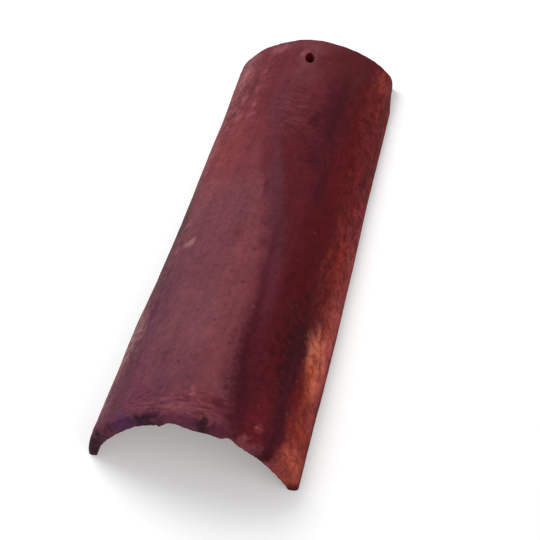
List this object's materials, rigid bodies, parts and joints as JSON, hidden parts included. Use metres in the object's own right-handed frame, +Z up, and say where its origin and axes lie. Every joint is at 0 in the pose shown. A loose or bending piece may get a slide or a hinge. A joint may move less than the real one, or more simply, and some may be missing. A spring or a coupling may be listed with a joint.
{
  "type": "clay roof tile",
  "caption": "Tapered barrel roof tile of fired clay: an arched shell, wide at the tail and narrow at the head, with a nail hole on the crown near the head.",
  "frame": {"origin": "on the floor that both feet rest on, under the middle of the tile's bounding box", "axes": "+Y along the tile from the wide tail to the narrow head, up the roof slope; +Z up through the crown; +X to the right when looking from tail to head"},
  "size_m": [0.1776, 0.457, 0.0798],
  "materials": {
    "fired_clay": "matt fired clay, flashed from dark maroon to rose, with one orange streak"
  },
  "bodies": {
    "root": {"barrel_tile": "fired_clay"}
  },
  "joints": []
}
